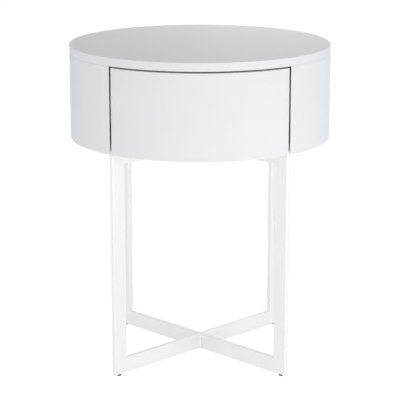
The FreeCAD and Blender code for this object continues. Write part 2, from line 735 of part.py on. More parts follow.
def flat_faced_ball():
    """A ball drawn with flat faces, its corners on the sphere and its poles on the Z axis."""
    radius = size("sizes.ball_diameter / 2")
    around = [2 * math.pi * side / BALL_SIDES for side in range(BALL_SIDES + 1)]
    rings = []
    for band in range(BALL_BANDS + 1):
        tilt = math.pi * band / BALL_BANDS
        rings.append([radius * FreeCAD.Vector(math.sin(tilt) * math.cos(angle),
                                              math.sin(tilt) * math.sin(angle),
                                              math.cos(tilt)) for angle in around])
    faces = []
    for upper, lower in zip(rings, rings[1:]):
        for side in range(BALL_SIDES):
            loop = [upper[side], lower[side], lower[side + 1], upper[side + 1]]
            corners = [point for number, point in enumerate(loop)
                       if not point.isEqual(loop[number - 1], radius / BALL_SIDES)]
            faces.append(Part.Face(Part.makePolygon(corners + corners[:1])))
    return Part.Solid(Part.Shell(faces))


def balls(label, sign, line, height):
    """The lower and the upper row of balls of a cage."""
    row = []
    for rank, level in (("lower", f"-{height}"), ("upper", height)):
        for number, step in enumerate(BALL_STEPS):
            ball = doc.addObject("Part::Feature", f"{label}_{rank}_{number}")
            ball.Shape = flat_faced_ball()
            place(ball, f"sizes.cage_length / 2 + {step} * sizes.ball_pitch", line, level)
            row.append(ball)
    piece = group(label, row)
    seat(piece, sign, CAGE_START, "sizes.cage_length")
    return piece


def rolling_rows(side, sign):
    return [
        cage(f"runner_{side}_outer_cage", sign, *OUTER_RACE, "sizes.runner_steel"),
        balls(f"runner_{side}_outer_balls", sign, *OUTER_RACE),
        cage(f"runner_{side}_inner_cage", sign, *INNER_RACE, MIDDLE_FACE),
        balls(f"runner_{side}_inner_balls", sign, *INNER_RACE),
    ]


# Push latch: it stands on the floor of the drum, and its plunger meets the drawer's back
def push_latch():
    latch_y = f"({DRAWER_REAR} + sizes.plunger_clearance + sizes.plunger_reach)"
    latch_z = f"({FLOOR_TOP} + sizes.latch_spacer)"
    axis_z = f"{latch_z} + sizes.latch_height / 2"
    backward = about((1, 0, 0), -QUARTER_TURN)
    outline = {"Length": "sizes.latch_width", "Width": "sizes.latch_length"}
    spacer = solid("Part::Box", "latch_spacer", {**outline, "Height": "sizes.latch_spacer"},
                   "-sizes.latch_width / 2", latch_y, FLOOR_TOP)
    block = solid("Part::Box", "latch_block", {**outline, "Height": "sizes.latch_height"},
                  "-sizes.latch_width / 2", latch_y, latch_z)
    depth = "sizes.plunger_length - sizes.plunger_reach + sizes.plunger_room"
    bore = solid("Part::Cylinder", "latch_bore",
                 {"Radius": "sizes.plunger_diameter / 2 + sizes.plunger_clearance",
                  "Height": f"{depth} + sizes.overrun"},
                 "0", f"{latch_y} - sizes.overrun", axis_z, backward)
    plunger = solid("Part::Cylinder", "latch_plunger",
                    {"Radius": "sizes.plunger_diameter / 2", "Height": "sizes.plunger_length"},
                    "0", f"{latch_y} - sizes.plunger_reach", axis_z, backward)
    return [spacer, take_away("latch_housing", block, bore), plunger]


nodes = [top_panel(), drum_shell(), floor_panel()]
nodes += [partition(side, sign) for side, sign in SIDES]
nodes += uprights() + bars()
nodes += [crossing_welds(), frame_bolts(), glide_nuts()]
nodes += [glide(arm) for arm in ARMS]
nodes += [drawer_front(), drawer_back(), drawer_bottom()]
for side, sign in SIDES:
    nodes += [drawer_side(side, sign), glue_block(side, sign)]
    nodes += runner(side, sign) + rolling_rows(side, sign)
nodes += push_latch()
doc.recompute()

for item in doc.Objects:
    if "Invalid" in item.State or "Error" in item.State:
        raise RuntimeError(f"{item.Name} failed: {item.State}")
os.makedirs("parts", exist_ok=True)
for node in nodes:
    shape = node.Shape
    if shape.isNull() or not shape.isValid():
        raise RuntimeError(f"{node.Label} has no valid shape")
    shape.exportStep(os.path.join("parts", f"{node.Label}.step"))
    print(node.Label, len(shape.Solids), round(shape.Volume))
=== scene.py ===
import json
import math

import bmesh
import bpy
import numpy as np
from bpy.props import FloatProperty, FloatVectorProperty, IntProperty, PointerProperty
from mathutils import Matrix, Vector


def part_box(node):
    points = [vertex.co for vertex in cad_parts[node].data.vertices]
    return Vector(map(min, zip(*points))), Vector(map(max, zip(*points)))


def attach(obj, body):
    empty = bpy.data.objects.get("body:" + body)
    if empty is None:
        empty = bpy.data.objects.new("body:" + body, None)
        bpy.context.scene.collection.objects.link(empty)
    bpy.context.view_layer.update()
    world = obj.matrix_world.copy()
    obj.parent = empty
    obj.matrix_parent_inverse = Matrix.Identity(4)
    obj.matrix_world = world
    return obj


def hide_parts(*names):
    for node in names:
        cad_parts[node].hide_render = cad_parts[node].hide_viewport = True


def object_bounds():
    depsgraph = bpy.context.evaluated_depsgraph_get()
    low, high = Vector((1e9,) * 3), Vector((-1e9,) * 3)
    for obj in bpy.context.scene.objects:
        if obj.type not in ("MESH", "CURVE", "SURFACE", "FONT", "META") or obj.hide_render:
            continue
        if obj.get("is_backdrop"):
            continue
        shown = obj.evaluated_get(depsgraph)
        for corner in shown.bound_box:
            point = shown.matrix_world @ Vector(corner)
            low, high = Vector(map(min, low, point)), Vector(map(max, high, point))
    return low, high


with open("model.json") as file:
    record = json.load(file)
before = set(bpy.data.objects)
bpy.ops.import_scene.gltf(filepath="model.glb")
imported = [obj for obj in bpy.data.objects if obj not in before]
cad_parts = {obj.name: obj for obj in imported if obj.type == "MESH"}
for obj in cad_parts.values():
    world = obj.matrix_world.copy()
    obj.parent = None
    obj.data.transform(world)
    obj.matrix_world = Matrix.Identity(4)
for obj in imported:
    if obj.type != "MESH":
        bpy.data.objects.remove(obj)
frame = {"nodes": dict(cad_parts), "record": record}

bl_info = {
    "name": "Round bedside table",
    "version": (1, 0, 0),
    "blender": (4, 5, 0),
    "location": "View3D > Sidebar > Table",
    "description": "Dresses a round bedside table with one curved drawer on crossed tube frames",
    "category": "Object",
}

ARMS = ("back_right", "back_left", "front_left", "front_right")
SIDES = ("left", "right")
ROWS = ("outer", "inner")
BODY_OF = {node: body for body, nodes in frame["record"]["behaviour"]["bodies"].items()
           for node in nodes}
SLOT_OF = {part["node"]: part["material_slot"] for part in frame["record"]["subparts"]}

# Steps round each corner of a section
CORNER_STEPS = 6
# Faces that meet at a larger angle than this, in degrees, shade apart
CREASE = 30.0
# A CAD mesh's points that lie closer than this, in metres, are one point
SAME_POINT = 1e-6
# Its triangles that meet at less than this, in degrees, are merged into one face
FLAT = 1.0
# Its edges that are sharper than this, in degrees, are rounded
EASED = 40.0

# Each lamp's place and upright size. All are as wide as LAMP_WIDTH and face LAMP_AIM
LAMPS = {
    "key": ((1.04, -1.08, 0.42), 0.6),
    "fill": ((-0.98, -1.13, 0.42), 0.6),
    "top": ((0.35, 0.88, 1.25), 1.0),
}
LAMP_WIDTH = 1.0
LAMP_AIM = (0.0, 0.0, 0.35)
SENSOR_MM = 36.0


def corners(node):
    """The lowest and the highest corner of a CAD node at rest, in metres."""
    low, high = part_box(node)
    return np.array(low), np.array(high)


CAD_LOW, CAD_HIGH = (np.array(corner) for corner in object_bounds())
DRUM_RADIUS = float(np.abs([CAD_LOW[:2], CAD_HIGH[:2]]).min())
TOP_LOW, TOP_HIGH = corners("top_panel")
WALL_LOW, WALL_HIGH = corners("drum_shell")
FRONT_LOW, FRONT_HIGH = corners("drawer_front")
BOTTOM_LOW, BOTTOM_HIGH = corners("drawer_bottom")
FLOOR_LOW, FLOOR_HIGH = corners("floor_panel")
UPRIGHT_LOW, UPRIGHT_HIGH = corners("upright_back_right")


class TableSizes(bpy.types.PropertyGroup):
    """Sizes of the parts that are drawn anew"""

    wall: FloatProperty(
        name="Wall", description="Thickness of the bent wall and of the drawer front",
        default=0.015, unit="LENGTH")
    rim: FloatProperty(
        name="Rim", description="Rounding of the lacquered edges",
        default=0.0003, min=0.0001, unit="LENGTH")
    top_rim: FloatProperty(
        name="Top rim", description="Rounding of the top's upper edge",
        default=0.0007, min=0.0001, unit="LENGTH")
    seam: FloatProperty(
        name="Seam", description="Rounding on both sides of the seam between top and wall",
        default=0.0009, min=0.0001, unit="LENGTH")
    board_edge: FloatProperty(
        name="Board edge", description="Rounding of the boards' edges",
        default=0.0006, min=0.0001, unit="LENGTH")
    metal_edge: FloatProperty(
        name="Metal edge", description="Rounding of the runners' edges",
        default=0.00025, min=0.00005, unit="LENGTH")
    front_gap: FloatProperty(
        name="Front gap", description="Gap on each side of the drawer front",
        default=0.002, unit="LENGTH")
    front_relief: FloatProperty(
        name="Front relief", description="Taken off the drawer front at its sides and top",
        default=0.0010, min=0.0, unit="LENGTH")
    tube_width: FloatProperty(
        name="Tube width", description="Tube, across its wide face",
        default=0.030, unit="LENGTH")
    tube_depth: FloatProperty(
        name="Tube depth", description="Tube, across its narrow face",
        default=0.010, unit="LENGTH")
    tube_corner: FloatProperty(
        name="Tube corner", description="Rounding of the tube's long edges",
        default=0.002, unit="LENGTH")
    weld_leg: FloatProperty(
        name="Weld", description="Width of a weld bead on each of the bars it joins",
        default=0.004, unit="LENGTH")
    member: FloatProperty(
        name="Runner steel", description="Thickness of the runners' sheet steel",
        default=0.0012, unit="LENGTH")
    ball: FloatProperty(
        name="Ball", description="Diameter of a ball of the runners",
        default=0.004, unit="LENGTH")
    ball_pitch: FloatProperty(
        name="Ball pitch", description="Distance from ball to ball",
        default=0.044, unit="LENGTH")
    screw_head: FloatProperty(
        name="Screw head", description="Diameter of a runner screw's head",
        default=0.0064, unit="LENGTH")
    screw_inset: FloatProperty(
        name="Screw inset", description="Screw, from the end of its runner",
        default=0.037, unit="LENGTH")
    glide_head: FloatProperty(
        name="Glide head", description="Height of a levelling glide's head",
        default=0.003, unit="LENGTH")
    glide_stem: FloatProperty(
        name="Glide stem", description="Diameter of a levelling glide's stem",
        default=0.004, unit="LENGTH")
    round_steps: IntProperty(
        name="Steps round", description="Faces round the whole drum",
        default=288, min=48, max=720)


def colour(name, description, value):
    """A colour property, linear red, green and blue from 0 to 1."""
    return FloatVectorProperty(name=name, description=description, subtype="COLOR", size=3,
                               min=0.0, max=1.0, default=value)


class TableColours(bpy.types.PropertyGroup):
    """Colours of the finishes"""

    lacquer: colour("Lacquer", "Satin lacquer of the drum", (0.838, 0.849, 0.870))
    powder: colour("Powder coat", "Powder coat of the frame", (0.95, 0.95, 0.95))
    board: colour("Board", "Melamine face of the drawer box", (0.82, 0.82, 0.81))
    beech: colour("Beech", "Bare wood of the glue blocks", (0.62, 0.42, 0.24))
    zinc: colour("Zinc", "Zinc plate of runners, bolts and nuts", (0.62, 0.64, 0.66))
    steel: colour("Ball steel", "Polished balls", (0.74, 0.75, 0.77))
    nylon: colour("Nylon", "Black levelling glides", (0.03, 0.03, 0.031))
    plastic: colour("Plastic", "Grey push latch", (0.27, 0.28, 0.29))


class StudioSettings(bpy.types.PropertyGroup):
    """Camera, lamps and floor"""

    distance: FloatProperty(
        name="Camera distance", description="Camera, in front of the drum's axis",
        default=3.04206, unit="LENGTH")
    height: FloatProperty(
        name="Camera height", description="Camera, above the floor",
        default=1.06701, unit="LENGTH")
    pitch: FloatProperty(
        name="Camera pitch", description="How far the camera looks down",
        default=math.radians(14.02), subtype="ANGLE")
    lens: FloatProperty(
        name="Lens", description="Focal length on a 36 mm sensor, in millimetres",
        default=143.673)
    ambient: FloatProperty(
        name="Ambient", description="Light from all round",
        default=0.53, min=0.0)
    key: FloatProperty(
        name="Key lamp", description="Wide soft lamp, low at the front right, in watts",
        default=6.9, min=0.0)
    fill: FloatProperty(
        name="Fill lamp", description="Wide soft lamp, low at the front left, in watts",
        default=4.5, min=0.0)
    top: FloatProperty(
        name="Top lamp", description="Large soft lamp, high behind the table, in watts",
        default=3.8, min=0.0)
    floor: colour("Floor", "Floor and backdrop", (0.92, 0.92, 0.92))


# Meshes: every new piece is a grid of points, rings of a section along a path


def mesh_object(name, surfaces, body, material, replaced=(), crease=CREASE):
    """One object from closed surfaces. Each surface is (rings, way): rings holds the points as
    an array of path by section by three. A way of "loop" joins the last ring to the first, "flat"
    closes each end with one face, and "pole" closes it with a fan about the ring's middle."""
    points, faces, first = [], [], 0
    for rings, way in surfaces:
        vertices, quads, ends = closed_grid(np.asarray(rings, dtype=float), way)
        points.append(vertices)
        faces += (quads + first).tolist() + [[int(i) + first for i in end] for end in ends]
        first += len(vertices)
    mesh = bpy.data.meshes.new(name)
    mesh.from_pydata(np.concatenate(points).tolist(), [], faces)
    if mesh.validate():
        raise RuntimeError(f"{name} has faces that are not sound")
    mesh.shade_smooth()
    mesh.set_sharp_from_angle(angle=math.radians(crease))
    mesh.materials.append(material)
    piece = bpy.data.objects.new(name, mesh)
    bpy.context.collection.objects.link(piece)
    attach(piece, body)
    if replaced:
        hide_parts(*replaced)
    return piece


def eased_copy(node, width, segments=2):
    """A CAD node's stand-in with its edges rounded: a copy of its mesh, its triangles merged into
    flat faces, and a Bevel modifier on its sharp edges."""
    work = bmesh.new()
    work.from_mesh(frame["nodes"][node].data)
    bmesh.ops.remove_doubles(work, verts=work.verts, dist=SAME_POINT)
    bmesh.ops.dissolve_limit(work, angle_limit=math.radians(FLAT), verts=work.verts,
                             edges=work.edges)
    mesh = bpy.data.meshes.new(f"{node}_eased")
    work.to_mesh(mesh)
    work.free()
    mesh.materials.clear()
    mesh.materials.append(finish_of(SLOT_OF[node]))
    mesh.shade_smooth()
    mesh.set_sharp_from_angle(angle=math.radians(CREASE))
    piece = bpy.data.objects.new(f"{node}_eased", mesh)
    bevel = piece.modifiers.new("eased_edges", "BEVEL")
    bevel.width = width
    bevel.segments = segments
    bevel.limit_method = "ANGLE"
    bevel.angle_limit = math.radians(EASED)
    bevel.harden_normals = True
    bpy.context.collection.objects.link(piece)
    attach(piece, BODY_OF[node])
    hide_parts(node)


def closed_grid(rings, way):
    """Vertices, quads and end faces of a tube of rings, wound so that they face outwards. The
    sign of the volume, a third of the sum of each corner times its face's area, tells which way
    they face."""
    count, around = rings.shape[:2]
    steps = count if way == "loop" else count - 1
    i, j = np.meshgrid(np.arange(steps), np.arange(around), indexing="ij")
    ahead, beside = (i + 1) % count, (j + 1) % around
    quads = np.stack([i * around + j, ahead * around + j, ahead * around + beside,
                      i * around + beside], axis=-1).reshape(-1, 4)
    vertices, ends = rings.reshape(-1, 3), []
    if way == "flat":
        ends = [np.arange(around), np.arange(around)[::-1] + (count - 1) * around]
    if way == "pole":
        middles = rings[[0, -1]].mean(axis=1)
        here = np.arange(around)
        there = np.roll(here, -1)
        base = (count - 1) * around
        ends = np.concatenate([
            np.stack([here, there, np.full(around, len(vertices))], axis=-1),
            np.stack([there + base, here + base, np.full(around, len(vertices) + 1)], axis=-1),
        ])
        vertices = np.concatenate([vertices, middles])
    a, b, c, d = (vertices[quads[:, k]] - vertices.mean(axis=0) for k in range(4))
    volume = np.einsum("ij,ij->", a, np.cross(b, c)) + np.einsum("ij,ij->", a, np.cross(c, d))
    if volume < 0:
        quads, ends = quads[:, ::-1], [end[::-1] for end in ends]
    return vertices, quads, ends


def rounded_rectangle(half_across, half_up, radius, guard=0.00012):
    """Outline of a rectangle with a quarter circle at each corner, as arrays across and up, the
    last axis round the outline. A point of an arc is the arc's centre plus the radius times the
    cosine across and the sine up. Each arc has a point just before and after it on the flats,
    so that the flats shade flat. The sizes may be columns, one row for each ring."""
    size = CORNER_STEPS + 1
    turn = np.radians(np.concatenate([np.linspace(90 * k, 90 * k + 90, size) for k in range(4)]))
    right = np.repeat([1, -1, -1, 1], size)
    upper = np.repeat([1, 1, -1, -1], size)
    across = right * (half_across - radius) + radius * np.cos(turn)
    up = upper * (half_up - radius) + radius * np.sin(turn)
    pieces_across, pieces_up = [], []
    for k in range(4):
        here = slice(k * size, (k + 1) * size)
        ahead = (-math.sin(math.radians(90 * k)), math.cos(math.radians(90 * k)))
        after = (-math.cos(math.radians(90 * k)), -math.sin(math.radians(90 * k)))
        a, u = across[..., here], up[..., here]
        pieces_across += [a[..., :1] - guard * ahead[0], a, a[..., -1:] + guard * after[0]]
        pieces_up += [u[..., :1] - guard * ahead[1], u, u[..., -1:] + guard * after[1]]
    return np.concatenate(pieces_across, axis=-1), np.concatenate(pieces_up, axis=-1)


def eased_ends(length, radius, middle_steps, extra=(), steps=5):
    """Distances along a path and how far the section draws in at each. Within a radius of an
    end it draws in as a quarter circle does, so the end's edges are rounded."""
    turn = np.radians(np.linspace(90, 0, steps + 1))
    near = radius * (1 - np.sin(turn))
    inset = radius * (1 - np.cos(turn))
    between = np.linspace(radius, length - radius, middle_steps + 1)[1:-1]
    between = np.sort(np.concatenate([between, extra]))
    distance = np.concatenate([near, between, length - near[::-1]])
    drawn_in = np.concatenate([inset, np.zeros(len(between)), inset[::-1]])
    return distance, drawn_in


def turned(profile, steps, ripple=None):
    """Rings of a turned piece: each point (radius, height) of the profile goes round the Z axis.
    A ripple, one number for each step round, times the profile's third value is taken off the
    radius."""
    profile = np.asarray(profile, dtype=float)
    angle = np.linspace(0, 2 * np.pi, steps, endpoint=False)
    radius = np.repeat(profile[:, :1], steps, axis=1)
    if ripple is not None:
        radius = radius - profile[:, 2:3] * ripple
    return np.stack([radius * np.cos(angle), radius * np.sin(angle),
                     np.repeat(profile[:, 1:2], steps, axis=1)], axis=-1)


def quarter(centre, radius, first, last, steps=5):
    """Points of an arc, (across, up), from one angle to another in degrees: the centre plus the
    radius times the cosine across and the sine up."""
    turn = np.radians(np.linspace(first, last, steps + 1))
    return np.stack([centre[0] + radius * np.cos(turn),
                     centre[1] + radius * np.sin(turn)], axis=-1)


def bent_board(radius, thickness, low, high, half_opening, through_back, rim, steps,
               groove=None, seam=None):
    """Rings of a board bent round the drum's axis, with its ends cut square to the front. A ring's
    point lies at its own radius; its angle runs evenly between the two ends, whose own angle from
    the X axis is the arc cosine of half the opening over that radius. A groove (low, high, depth,
    half width) is sunk into the inner face between its two ends. All edges are rounded to the rim,
    but a seam, where given, is the rounding of the outer upper edge."""
    arc = 2 * math.asin(half_opening / radius)
    arc = (2 * math.pi - arc if through_back else arc) * radius
    extra = []
    if groove:
        # The groove's two ends are sheer: a ring stands just before and just after each
        reach, beside = radius * math.asin(groove[3] / (radius - thickness)), 2e-5
        extra = [arc / 2 + side * reach + step for side in (-1, 1) for step in (-beside, beside)]
    middle_steps = round(steps * arc / (2 * math.pi * radius))
    distance, inset = eased_ends(arc, rim, middle_steps, extra)
    inset = inset[:, None]
    # A little of each rounding is left where the section has drawn in, so no two points meet
    least = 0.04 * rim
    rounding = np.repeat([seam or rim, rim, rim, rim], CORNER_STEPS + 1)
    left_over = np.maximum(rounding - inset, least)
    across, up = rounded_rectangle(thickness / 2 - inset, (high - low) / 2 - inset, left_over)
    if groove:
        # Past the groove's ends its four points lie a little apart on the flat inner face
        middle, apart = (low + high) / 2, 0.0001
        sunk = np.abs(distance - arc / 2)[:, None] < reach
        depth, spread = groove[2] * sunk, apart * ~sunk
        inner = -(thickness / 2 - inset)
        half = across.shape[1] // 2
        mouth = np.concatenate([inner, inner + depth, inner + depth, inner], axis=1)
        level = (np.array([groove[1], groove[1], groove[0], groove[0]])
                 + spread * np.array([1.0, 0.0, 0.0, -1.0]))
        across = np.concatenate([across[:, :half], mouth, across[:, half:]], axis=1)
        up = np.concatenate([up[:, :half], level - middle, up[:, half:]], axis=1)
    out = radius - thickness / 2 + across
    lean = np.arccos(half_opening / out)
    share = (distance / arc)[:, None]
    if through_back:
        angle = -lean + share * (np.pi + 2 * lean)
    else:
        angle = -np.pi + lean + share * (np.pi - 2 * lean)
    return np.stack([out * np.cos(angle), out * np.sin(angle),
                     (low + high) / 2 + up], axis=-1)


def tube_rings(path, arm, width, depth, corner):
    """Rings of a mitred tube that follows a path of square corners in the upright plane of an arm.
    The path is the tube's outer line, as (distance from the axis, height) with the inward way at
    each point; a ring's point lies in by its own distance from that outer line."""
    across, along = rounded_rectangle(depth / 2, width / 2, corner)
    inward = along + width / 2
    out = np.array([math.cos(arm), math.sin(arm), 0.0])
    side = np.array([-math.sin(arm), math.cos(arm), 0.0])
    up = np.array([0.0, 0.0, 1.0])
    place, height, in_out, in_up = np.array(path, dtype=float).T[:, :, None, None]
    return (out * place + up * height + inward[:, None] * (out * in_out + up * in_up)
            + across[:, None] * side)


# Finishes


class Finish:
    """A node material with one Principled shader, and noise to vary it."""

    def __init__(self, name):
        self.material = bpy.data.materials.new(name)
        self.material.use_nodes = True
        self.tree = self.material.node_tree
        self.tree.nodes.clear()
        self.output = self.add("ShaderNodeOutputMaterial")
        self.shader = self.add("ShaderNodeBsdfPrincipled")
        self.join(self.shader.outputs["BSDF"], self.output.inputs["Surface"])
        self.place = self.add("ShaderNodeTexCoord").outputs["Object"]

    def add(self, kind, **settings):
        """A new node with some of its settings."""
        node = self.tree.nodes.new(kind)
        for key, value in settings.items():
            setattr(node, key, value)
        return node

    def join(self, start, end):
        """A link from an output to an input."""
        self.tree.links.new(start, end)

    def stretched(self, scale):
        """Object coordinates, scaled along each axis."""
        mapping = self.add("ShaderNodeMapping")
        mapping.inputs["Scale"].default_value = scale
        self.join(self.place, mapping.inputs["Vector"])
        return mapping.outputs["Vector"]

    def noise(self, scale, detail=3.0, roughness=0.5, vector=None):
        """Noise about 0.5, over object coordinates unless another vector is given."""
        node = self.add("ShaderNodeTexNoise")
        node.inputs["Scale"].default_value = scale
        node.inputs["Detail"].default_value = detail
        node.inputs["Roughness"].default_value = roughness
        self.join(self.place if vector is None else vector, node.inputs["Vector"])
        return node.outputs["Fac"]

    def between(self, value, low, high, start=0.3, end=0.7):
        """A value spread evenly from low at its start to high at its end."""
        node = self.add("ShaderNodeMapRange")
        for key, number in (("From Min", start), ("From Max", end),
                            ("To Min", low), ("To Max", high)):
            node.inputs[key].default_value = number
        self.join(value, node.inputs["Value"])
        return node.outputs["Result"]

    def tones(self, value, stops):
        """A colour ramp over (place, colour) stops."""
        node = self.add("ShaderNodeValToRGB")
        ramp = node.color_ramp
        while len(ramp.elements) < len(stops):
            ramp.elements.new(1.0)
        for element, (place, tone) in zip(ramp.elements, stops):
            element.position = place
            element.color = (*tone, 1.0)
        self.join(value, node.inputs["Fac"])
        return node.outputs["Color"]

    def tint(self, value, tone, change):
        """A colour that varies by a share about its tone."""
        dark = [channel * (1 - change) for channel in tone]
        light = [min(1.0, channel * (1 + change)) for channel in tone]
        self.join(self.tones(value, ((0.3, dark), (0.7, light))), self.shader.inputs["Base Color"])

    def rough(self, value, low, high):
        """A roughness that varies from low to high."""
        self.join(self.between(value, low, high), self.shader.inputs["Roughness"])

    def bump(self, value, strength, distance):
        """A surface that a value raises by up to a distance, in metres."""
        node = self.add("ShaderNodeBump")
        node.inputs["Strength"].default_value = strength
        node.inputs["Distance"].default_value = distance
        self.join(value, node.inputs["Height"])
        self.join(node.outputs["Normal"], self.shader.inputs["Normal"])


def satin_lacquer(tone):
    """Sprayed satin lacquer: nearly even, with the fine waves that a spray gun leaves."""
    finish = Finish("satin_white_lacquer")
    finish.shader.inputs["Specular IOR Level"].default_value = 0.15
    finish.tint(finish.noise(7.0), tone, change=0.006)
    finish.rough(finish.noise(60.0), low=0.52, high=0.58)
    finish.bump(finish.noise(420.0, detail=2.0), strength=0.06, distance=0.0002)
    return finish.material


def powder_coat(tone):
    """Baked powder: a fine orange peel, and a little more gloss than the lacquer."""
    finish = Finish("white_powder_coat")
    finish.tint(finish.noise(15.0), tone, change=0.008)
    finish.rough(finish.noise(120.0), low=0.27, high=0.35)
    finish.bump(finish.noise(900.0, detail=2.0), strength=0.12, distance=0.0002)
    return finish.material


def melamine_board(tone):
    """Matt melamine paper, with a shallow pearl texture."""
    finish = Finish("white_melamine_board")
    finish.tint(finish.noise(25.0), tone, change=0.012)
    finish.rough(finish.noise(300.0), low=0.5, high=0.62)
    finish.bump(finish.noise(1300.0, detail=4.0), strength=0.15, distance=0.0001)
    return finish.material


def bare_beech(tone):
    """Sanded beech, its grain upright, with the short dark flecks of its rays."""
    finish = Finish("bare_beech")
    along_grain = finish.stretched((14.0, 14.0, 1.6))
    grain = finish.noise(14.0, detail=6.0, roughness=0.65, vector=along_grain)
    dark = [channel * 0.72 for channel in tone]
    light = [min(1.0, channel * 1.18) for channel in tone]
    flecks = finish.noise(60.0, detail=2.0, vector=finish.stretched((30.0, 30.0, 5.0)))
    fleck, plain = (0.6, 0.5, 0.42), (1.0, 1.0, 1.0)
    mixed = finish.add("ShaderNodeMix", data_type="RGBA", blend_type="MULTIPLY")
    mixed.inputs["Factor"].default_value = 0.5
    finish.join(finish.tones(grain, ((0.35, dark), (0.5, tone), (0.68, light))),
                mixed.inputs["A"])
    finish.join(finish.tones(flecks, ((0.30, fleck), (0.42, plain))), mixed.inputs["B"])
    finish.join(mixed.outputs["Result"], finish.shader.inputs["Base Color"])
    finish.rough(grain, low=0.5, high=0.66)
    finish.bump(grain, strength=0.2, distance=0.0002)
    return finish.material


def zinc_plate(tone):
    """Rolled steel under bright zinc: lines along the strip, and a cloudy sheen."""
    finish = Finish("zinc_plate")
    finish.shader.inputs["Metallic"].default_value = 1.0
    finish.tint(finish.noise(90.0, detail=5.0), tone, change=0.07)
    lines = finish.noise(300.0, detail=2.0, vector=finish.stretched((6.0, 0.15, 6.0)))
    finish.rough(lines, low=0.26, high=0.42)
    finish.bump(lines, strength=0.08, distance=0.0001)
    return finish.material


def ball_steel(tone):
    """Ground and polished steel."""
    finish = Finish("ball_steel")
    finish.shader.inputs["Metallic"].default_value = 1.0
    finish.tint(finish.noise(200.0), tone, change=0.03)
    finish.rough(finish.noise(500.0), low=0.07, high=0.16)
    return finish.material


def black_nylon(tone):
    """Moulded nylon with a fine matt grain."""
    finish = Finish("black_nylon")
    finish.tint(finish.noise(200.0), tone, change=0.15)
    finish.rough(finish.noise(600.0), low=0.42, high=0.6)
    finish.bump(finish.noise(2500.0, detail=2.0), strength=0.2, distance=0.0001)
    return finish.material


def grey_plastic(tone):
    """Moulded plastic from an eroded mould."""
    finish = Finish("grey_plastic")
    finish.tint(finish.noise(120.0), tone, change=0.04)
    finish.rough(finish.noise(500.0), low=0.4, high=0.52)
    finish.bump(finish.noise(1800.0, detail=3.0), strength=0.2, distance=0.0001)
    return finish.material


FINISHES = {
    "white_lacquer": ("satin_white_lacquer", satin_lacquer, "lacquer"),
    "white_powder_coat": ("white_powder_coat", powder_coat, "powder"),
    "white_board": ("white_melamine_board", melamine_board, "board"),
    "bare_wood": ("bare_beech", bare_beech, "beech"),
    "zinc_steel": ("zinc_plate", zinc_plate, "zinc"),
    "bright_steel": ("ball_steel", ball_steel, "steel"),
    "black_nylon": ("black_nylon", black_nylon, "nylon"),
    "grey_plastic": ("grey_plastic", grey_plastic, "plastic"),
}


def finish_of(slot):
    """The material for one of the record's slots, made on its first use."""
    name, make, tone = FINISHES[slot]
    colours = bpy.context.scene.table_colours
    return bpy.data.materials.get(name) or make(tuple(getattr(colours, tone)))


# Operators, one for each piece or group of like pieces


class TableOperator:
    """What the operators share: they change the scene, and can be undone"""

    bl_options = {"REGISTER", "UNDO"}

    @property
    def sizes(self):
        return bpy.context.scene.table_sizes


class TABLE_OT_top(TableOperator, bpy.types.Operator):
    """Turns the round top, with both of its rims rounded"""

    bl_idname = "table.top"
    bl_label = "Round top"

    def execute(self, context):
        seam, rim, radius = self.sizes.seam, self.sizes.top_rim, DRUM_RADIUS
        low, high = TOP_LOW[2], TOP_HIGH[2]
        # A point this far past each rounding keeps the flat beside it flat
        guard = 0.0002
        profile = np.concatenate([
            [(radius / 2, low), (radius - seam - guard, low)],
            quarter((radius - seam, low + seam), seam, -90, 0),
            [(radius, low + seam + guard), (radius, high - rim - guard)],
            quarter((radius - rim, high - rim), rim, 0, 90),
            [(radius - rim - guard, high), (radius / 2, high)],
        ])
        mesh_object("round_top", [(turned(profile, self.sizes.round_steps), "pole")],
                    "cabinet", finish_of("white_lacquer"), ["top_panel"])
        return {"FINISHED"}


class TABLE_OT_wall(TableOperator, bpy.types.Operator):
    """Bends the drum's wall round the sides and the back"""

    bl_idname = "table.wall"
    bl_label = "Bent wall"

    def execute(self, context):
        sizes = self.sizes
        rings = bent_board(DRUM_RADIUS, sizes.wall, WALL_LOW[2], WALL_HIGH[2],
                           FRONT_HIGH[0] + sizes.front_gap, True, sizes.rim, sizes.round_steps,
                           seam=sizes.seam)
        mesh_object("bent_wall", [(rings, "flat")], "cabinet",
                    finish_of("white_lacquer"), ["drum_shell"])
        return {"FINISHED"}


class TABLE_OT_front(TableOperator, bpy.types.Operator):
    """Bends the drawer front, with the groove for the drawer's bottom"""

    bl_idname = "table.front"
    bl_label = "Drawer front"

    def execute(self, context):
        sizes = self.sizes
        inner = DRUM_RADIUS - sizes.wall
        groove = (BOTTOM_LOW[2], BOTTOM_HIGH[2], -BOTTOM_LOW[1] - inner, BOTTOM_HIGH[0])
        relief = sizes.front_relief
        rings = bent_board(DRUM_RADIUS, sizes.wall, FRONT_LOW[2], FRONT_HIGH[2] - relief,
                           FRONT_HIGH[0] - relief, False, sizes.rim, sizes.round_steps, groove)
        mesh_object("curved_front", [(rings, "flat")], "drawer",
                    finish_of("white_lacquer"), ["drawer_front"])
        return {"FINISHED"}


